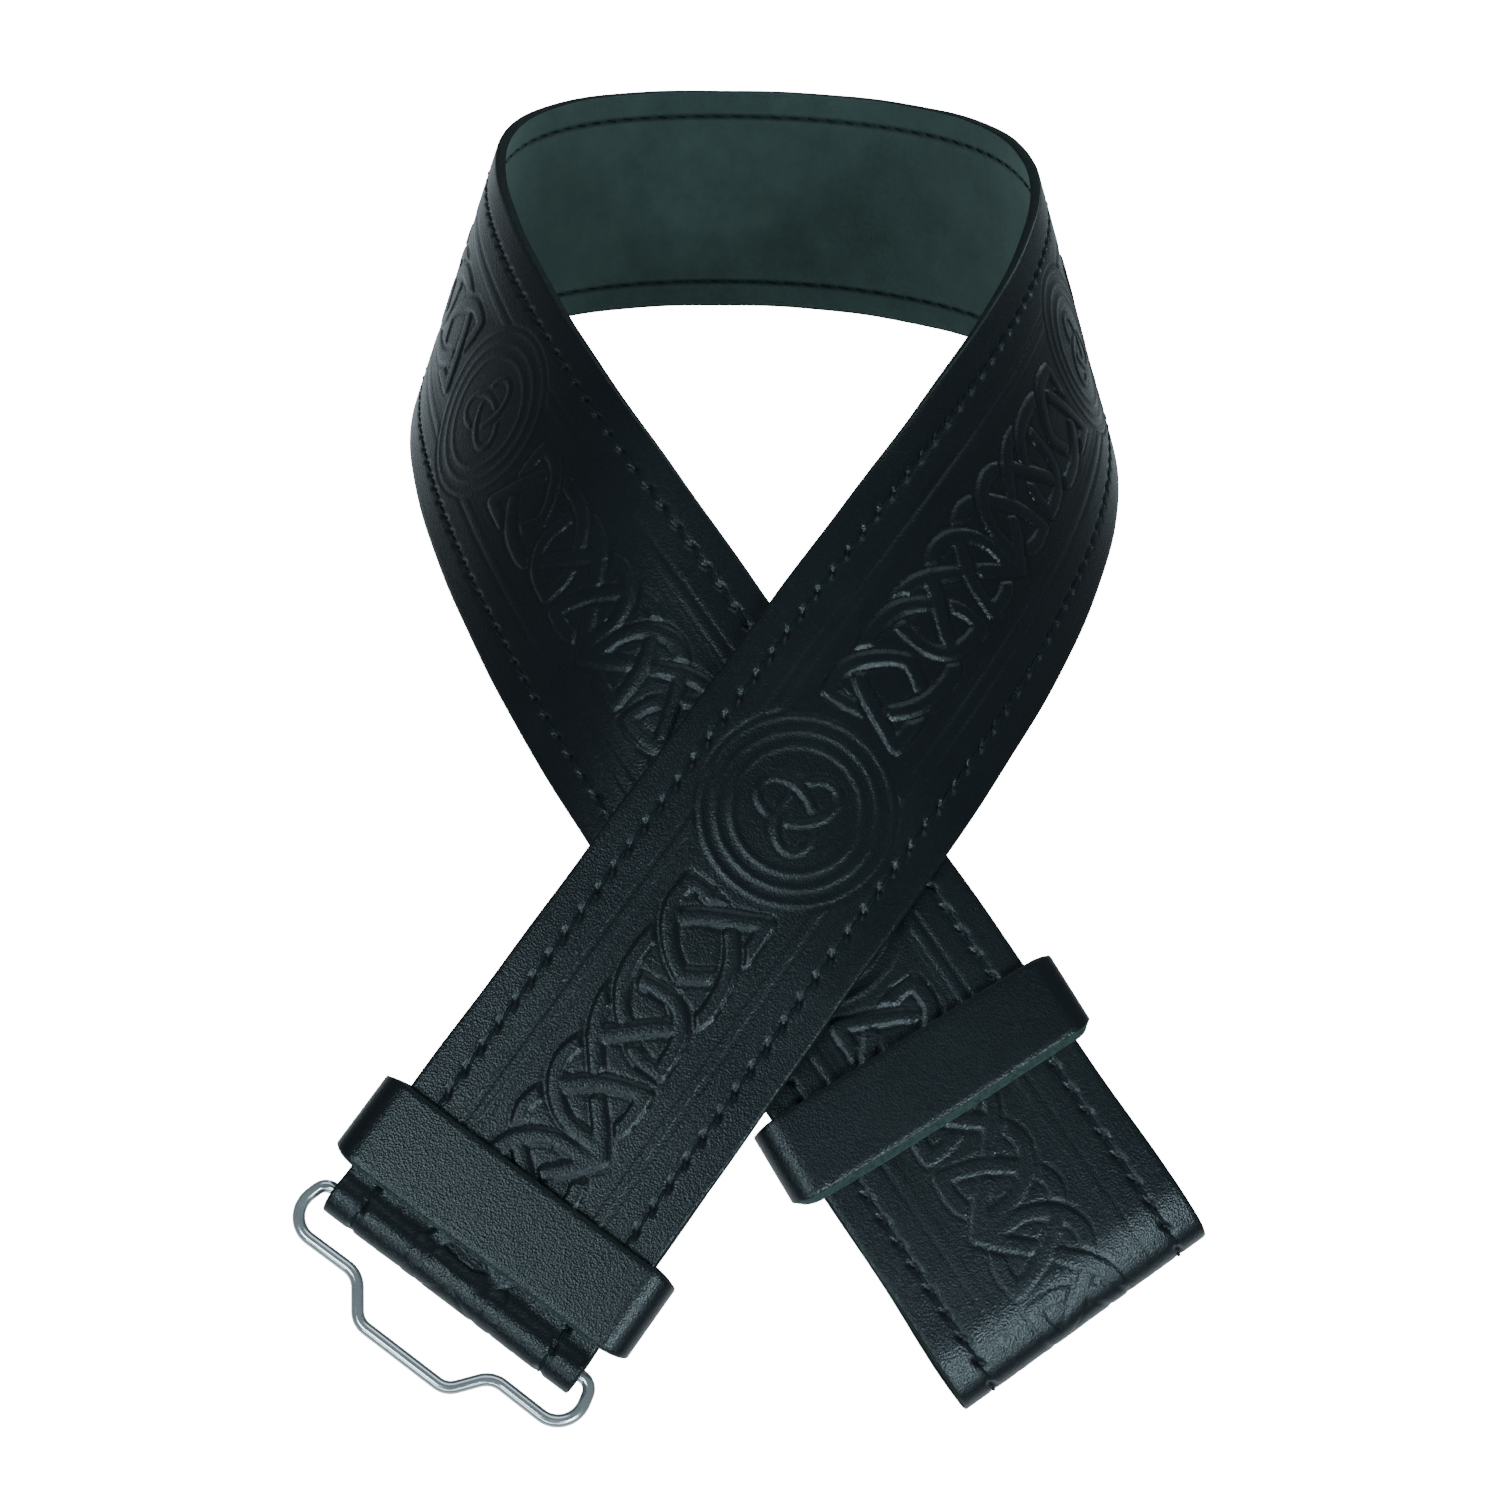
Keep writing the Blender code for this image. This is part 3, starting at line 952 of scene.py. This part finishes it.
def cut_edge(name, dark, light):
    """A cut leather edge: matt and fibrous, a little lighter and greener than the face."""
    nodes = Nodes(name)
    fibre = nodes.noise(nodes.place(), 1100.0, 6.0, 0.7)
    tone = nodes.ramp((fibre, "Fac"), 0.3, 0.7, 0.0, 1.0)
    colour = nodes.blend((tone, 0), dark, light)
    bump = nodes.bump((fibre, "Fac"), 0.7, 0.0002)
    nodes.shade(Base_Color=colour, Roughness=0.82, Specular_IOR_Level=0.3, Normal=bump)
    return nodes.material


def thread():
    """Dark waxed thread."""
    nodes = Nodes("thread")
    twist = nodes.noise(nodes.place(), 2500.0, 3.0)
    tone = nodes.ramp((twist, "Fac"), 0.3, 0.7, 0.0, 1.0)
    colour = nodes.blend((tone, 0), THREAD_DARK, THREAD_LIGHT)
    bump = nodes.bump((twist, "Fac"), 0.5, 0.0001)
    nodes.shade(Base_Color=colour, Roughness=0.62, Normal=bump)
    nodes.shade(Specular_IOR_Level=0.25, Specular_Tint=LEATHER_TINT)
    return nodes.material


def chrome():
    """Bright plated wire with faint handling marks."""
    nodes = Nodes("chrome_wire")
    smears = nodes.noise(nodes.place(), 260.0, 5.0)
    roughness = nodes.ramp((smears, "Fac"), 0.35, 0.75, 0.10, 0.24)
    colour = nodes.blend((smears, "Fac"), CHROME_DARK, CHROME_LIGHT)
    bump = nodes.bump((smears, "Fac"), 0.08, 0.0001)
    nodes.shade(Base_Color=colour, Metallic=0.85, Roughness=(roughness, 0), Normal=bump)
    return nodes.material


# Stitches, keepers, wire


def tube(rings, closed):
    """Vertices and faces of a skin over equal rings; an open one has capped ends."""
    count = len(rings[0])
    points = [point for ring in rings for point in ring]
    faces = []
    spans = len(rings) if closed else len(rings) - 1
    for row in range(spans):
        near = row * count
        far = (row + 1) % len(rings) * count
        for here in range(count):
            after = (here + 1) % count
            faces.append((near + here, near + after, far + after, far + here))
    if not closed:
        faces.append(tuple(range(count)))
        faces.append(tuple(reversed(range(len(points) - count, len(points)))))
    return points, faces


def ring_points(middle, radius, aside, up, sides):
    """Points round a middle, in the plane of two directions."""
    angles = [2 * math.pi * side / sides for side in range(sides)]
    return [tuple(middle + radius * (math.cos(a) * aside + math.sin(a) * up)) for a in angles]


def unit_rows(rows):
    """Each row as a direction of length 1."""
    return rows / np.linalg.norm(rows, axis=-1)[:, None]


def stitch_rings(row, middle, out, slant):
    """Rings of one short length of thread that dips into the leather at both ends."""
    shares = np.linspace(-1, 1, THREAD_SPANS + 1)
    ends = np.abs(shares) ** 4
    along = (middle + shares * STITCH_LENGTH / 2) * MM
    across = (row - shares * slant) * MM
    height = STRAP_THICKNESS / MM / 2 - STITCH_SINK - STITCH_DIP * ends
    base = strap_points(along, across, out * height * MM)
    up = unit_rows(strap_points(along, across, out * (height + 1.0) * MM) - base)
    aside = np.cross(unit_rows(np.gradient(base, axis=0)), up)
    radius = THREAD_RADIUS * MM * (1.0 - THREAD_TAPER * ends)
    spots = zip(base, radius, aside, up)
    return [ring_points(*spot, THREAD_SIDES) for spot in spots]


def stitches_mesh():
    """All stitches: both rows on the outside and on the suede side."""
    points = []
    faces = []
    for row, out in itertools.product(stitch_rows(), (1, -1)):
        for index, middle in enumerate(stitch_places()):
            slant = STITCH_SLANT + SLANT_SPREAD * math.sin(2.3 * index)
            more, skins = tube(stitch_rings(row, middle, out, slant), closed=False)
            faces += [tuple(corner + len(points) for corner in skin) for skin in skins]
            points += more
    return new_mesh("stitches", points, faces)


def keeper_depth(keeper):
    """Inside depth of a keeper: two layers, their gap, slack, and what the flap still spreads."""
    return 2 * STRAP_THICKNESS + LAYER_GAP + 2 * KEEPER_SLACK + keeper.spread


def rounded_outline(width, height, radius, steps, straight):
    """Points and outward directions round a rectangle with round corners, anticlockwise."""
    points = []
    for corner in range(4):
        start = corner * math.pi / 2
        middle_x = (width / 2 - radius) * (1 if corner in (0, 3) else -1)
        middle_z = (height / 2 - radius) * (1 if corner in (0, 1) else -1)
        for step in range(steps + 1):
            angle = start + step / steps * math.pi / 2
            out = (math.cos(angle), math.sin(angle))
            points.append(((middle_x + radius * out[0], middle_z + radius * out[1]), out))
        if corner in (0, 2):
            (first_x, first_z), out = points[-1]
            for step in range(1, straight):
                across = first_x * (1 - 2 * step / straight)
                points.append(((across, first_z), out))
    return points


def keeper_section(skive):
    """Section of the band as (along, lift, face) in mm: the edge towards the fold is slanted."""
    half = KEEPER_WIDTH / MM / 2
    wall = KEEPER_WALL / MM
    soft = 0.6
    nick = 0.12
    cut = half - skive
    section = [(-half + soft, wall, OUTER)]
    section += [(float(a), wall, OUTER) for a in np.arange(-half + 2 * soft, cut - 0.7, 0.8)]
    section += [
        (cut - 0.35, wall, OUTER),
        (cut, wall - nick, EDGE),
        (half - 0.7 * skive, wall - nick - 0.4 * skive, EDGE),
        (half - 0.2 * skive, wall - 0.20 - 0.9 * skive, EDGE),
        (half + 0.05, 0.25 * wall, EDGE),
        (half - 0.15, nick, EDGE),
        (half - soft, 0.0, INNER),
    ]
    section += [(float(a), 0.0, INNER) for a in np.arange(half - 3.0, -half + 2.9, -3.0)]
    section += [
        (-half + soft, 0.0, EDGE),
        (-half + 0.15, nick, EDGE),
        (-half, soft, EDGE),
        (-half - 0.05, wall / 2, EDGE),
        (-half, wall - soft, EDGE),
        (-half + 0.16, wall - 0.14, OUTER),
    ]
    return section


def keeper_bow(keeper, across, out):
    """Unevenness of a keeper's edge towards the fold, in mm, different in front and behind."""
    return 0.28 * math.sin(across / (0.011 + 0.002 * out) + keeper.far_edge * 900)


def keeper_piece(keeper, materials):
    """A ring of plain leather, narrower at its sides and a little uneven."""
    depth = keeper_depth(keeper)
    width = STRAP_WIDTH + 2 * KEEPER_SIDE_SLACK + KEEPER_BULGE
    radius = KEEPER_ROUNDNESS * depth / 2
    outline = rounded_outline(width, depth, radius, KEEPER_CORNER_STEPS, KEEPER_STRAIGHT_STEPS)
    section = keeper_section(keeper.skive)
    rings = []
    for (x, z), (out_x, out_z) in outline:
        bow = keeper_bow(keeper, x, out_z)
        narrow = 1.0 - KEEPER_NARROWING * out_x * out_x
        ring = []
        for along, lift, _ in section:
            end = (along * narrow + bow * max(0.0, along / 9.0)) * MM
            reach = (lift + 0.10 * bow) * MM
            ring.append((x + out_x * reach, end, z + out_z * reach))
        rings.append(ring)
    mesh = new_mesh(keeper.name + "_band", *tube(rings, closed=True))
    kinds = [kind for _, _, kind in section]
    mesh.polygons.foreach_set("material_index", kinds * len(rings))
    top_to_middle = depth / 2 - STRAP_THICKNESS / 2 - KEEPER_SLACK
    place = arm_end_matrix(keeper.side, keeper.far_edge - KEEPER_WIDTH / 2, top_to_middle)
    place = STAND @ place @ Matrix.Rotation(math.radians(keeper.skew), 4, "Z")
    piece = place_piece(keeper.name + "_band", mesh, materials, place=place)
    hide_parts(keeper.name)


def loop_path(arc_step):
    """Middle line of the bent wire as (along, reach) points, its corners rounded."""
    mirrored = [Corner(-corner.along, corner.reach, corner.radius) for corner in LOOP_CORNERS]
    corners = list(LOOP_CORNERS) + mirrored[::-1]
    path = []
    for place, corner in enumerate(corners):
        here = Vector((corner.along, corner.reach))
        before = corners[place - 1]
        after = corners[(place + 1) % len(corners)]
        from_before = (here - Vector((before.along, before.reach))).normalized()
        to_after = (Vector((after.along, after.reach)) - here).normalized()
        bend = from_before.angle_signed(to_after)
        start = here - corner.radius * math.tan(abs(bend) / 2) * from_before
        steps = max(3, round(abs(math.degrees(bend)) / arc_step))
        aside = Vector((-from_before.y, from_before.x)) * (-1 if bend > 0 else 1)
        for step in range(steps + 1):
            angle = abs(bend) * step / steps
            ahead = corner.radius * math.sin(angle)
            swing = corner.radius * (1 - math.cos(angle))
            path.append(start + ahead * from_before + swing * aside)
    return path


def wire_piece(material):
    """The bent wire, round and smooth."""
    path = loop_path(WIRE_ARC)
    up = Vector((0, 0, 1))
    rings = []
    for place, here in enumerate(path):
        ahead = (path[(place + 1) % len(path)] - path[place - 1]).normalized()
        aside = Vector((-ahead.y, ahead.x, 0.0))
        rings.append(ring_points(here.to_3d(), WIRE_RADIUS, aside, up, WIRE_SIDES))
    mesh = new_mesh("buckle_wire", *tube(rings, closed=True))
    fold = FOLDS[RIGHT]
    reach = fold.reach - STRAP_THICKNESS / 2 - fold.turn_radius
    run_angle = math.radians(fold.run_angle)
    depth = fold.run_radius * (1 - math.cos(run_angle)) + fold.turn_radius * math.cos(run_angle)
    lift = Matrix.Rotation(math.radians(LOOP_LIFT), 4, "X")
    place = STAND @ (arm_end_matrix(RIGHT, reach, depth) @ lift)
    piece = place_piece("buckle_wire", mesh, [material], body="buckle_loop", place=place)
    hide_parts("wire_loop")


# Stage: pale surround, lights and camera

CAMERA_PLACE = Vector((-0.0587, -0.3169, 0.3830))
CAMERA_AIM = Vector((-0.0041, -0.0297, 0.0269))
CAMERA_ROLL = 16.73
CAMERA_LENS = 51.1
SENSOR_WIDTH = 36.0
FLOOR_LEVEL = -0.0002
SURROUND_REACH = 6.0
SURROUND_GLOW = 16.0
SURROUND_COLOUR = (0.8, 0.8, 0.8, 1)
LIGHT_AIM = Vector((0.0, -0.05, 0.03))
LIGHT_COLOUR = (0.70, 0.92, 1.0)
Light = namedtuple("Light", "name place size power")
LIGHTS = (
    Light("left_key", (-0.62, -0.80, 0.90), (0.45, 0.35), 4.2),
    Light("right_key", (0.34, -0.90, 0.70), (0.30, 0.20), 3.8),
    Light("right_front", (0.42, -1.15, 0.44), (0.90, 0.35), 2.2),
    Light("low_front", (-0.45, -1.25, 0.36), (0.80, 0.20), 2.6),
    Light("rear_fill", (0.30, 1.10, 0.45), (0.90, 0.50), 2.2),
    Light("top_back", (0.00, 0.60, 1.15), (1.00, 0.60), 2.2),
)
WORLD_COLOUR = (0.80, 0.93, 1.0, 1)
WORLD_BELOW = 0.8
WORLD_BELOW_TO = -0.65
WORLD_ABOVE = 0.13
WORLD_ABOVE_FROM = -0.25


def make_camera():
    """Camera at the photograph's angle to the belt."""
    data = bpy.data.cameras.new("camera")
    data.lens = CAMERA_LENS
    data.sensor_width = SENSOR_WIDTH
    camera = new_object("camera", data)
    look = (CAMERA_AIM - CAMERA_PLACE).to_track_quat("-Z", "Y").to_matrix().to_4x4()
    roll = Matrix.Rotation(math.radians(CAMERA_ROLL), 4, "Z")
    camera.matrix_world = Matrix.Translation(CAMERA_PLACE) @ look @ roll
    bpy.context.scene.camera = camera


def area_light(light):
    """A soft rectangular studio light, turned to the belt."""
    data = bpy.data.lights.new(light.name, "AREA")
    data.shape = "RECTANGLE"
    data.size, data.size_y = light.size
    data.energy = light.power
    data.color = LIGHT_COLOUR
    lamp = new_object(light.name, data)
    lamp.location = light.place
    way = LIGHT_AIM - Vector(light.place)
    lamp.rotation_euler = way.to_track_quat("-Z", "Y").to_euler()


def pale_sheet(name, points, faces, material):
    """Part of the pale surround, which the belt doesn't mirror."""
    mesh = new_mesh(name, points, faces)
    mesh.materials.append(material)
    sheet = new_object(name, mesh)
    sheet.visible_glossy = False
    sheet.visible_diffuse = False
    return sheet


def make_surround():
    """Pale glowing floor, and a pale wall far round it."""
    glow = Nodes("pale_surround")
    glow.shade(Base_Color=SURROUND_COLOUR, Roughness=0.9, Specular_IOR_Level=0.1)
    glow.shade(Emission_Color=(1, 1, 1, 1), Emission_Strength=SURROUND_GLOW)
    around = ((-1, -1), (1, -1), (1, 1), (-1, 1))
    corners = [(x * SURROUND_REACH, y * SURROUND_REACH, FLOOR_LEVEL) for x, y in around]
    pale_sheet("floor", corners, [(0, 1, 2, 3)], glow.material)
    tops = [(x, y, SURROUND_REACH) for x, y, _ in corners]
    sides = [(here, (here + 1) % 4, (here + 1) % 4 + 4, here + 4) for here in range(4)]
    wall = pale_sheet("wall", corners + tops, sides, glow.material)
    wall.visible_shadow = False


def make_world():
    """Soft light from all round, brighter from below as over a white table."""
    world = bpy.data.worlds.new("studio")
    world.use_nodes = True
    tree = world.node_tree
    sky = tree.nodes["Background"]
    sky.inputs["Color"].default_value = WORLD_COLOUR
    way = tree.nodes.new("ShaderNodeTexCoord")
    parts = tree.nodes.new("ShaderNodeSeparateXYZ")
    share = tree.nodes.new("ShaderNodeMapRange")
    tree.links.new(way.outputs["Generated"], parts.inputs["Vector"])
    tree.links.new(parts.outputs["Z"], share.inputs["Value"])
    tree.links.new(share.outputs["Result"], sky.inputs["Strength"])
    share.inputs["From Min"].default_value = WORLD_BELOW_TO
    share.inputs["From Max"].default_value = WORLD_ABOVE_FROM
    share.inputs["To Min"].default_value = WORLD_BELOW
    share.inputs["To Max"].default_value = WORLD_ABOVE
    bpy.context.scene.world = world


def make_stage():
    make_surround()
    make_world()
    for light in LIGHTS:
        area_light(light)
    make_camera()


def main():
    embossed = grain_leather("embossed_leather", embossed=True)
    plain = grain_leather("plain_leather", embossed=False)
    edge = cut_edge("dyed_edge", DYED_EDGE_DARK, DYED_EDGE_LIGHT)
    raw_edge = cut_edge("raw_edge", RAW_EDGE_DARK, RAW_EDGE_LIGHT)
    flesh = suede()
    start = -ARMS[LEFT].length / MM
    for stretch in STRETCHES:
        end = stretch.end or ARMS[RIGHT].length / MM
        piece = strap_piece(stretch.name, start, end, stretch.spacing, [embossed, edge, flesh])
        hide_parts("strap")
        start = end
    place_piece("stitches", stitches_mesh(), [thread()])
    for keeper in KEEPERS:
        keeper_piece(keeper, [plain, raw_edge, flesh])
    wire_piece(chrome())
    make_stage()


main()
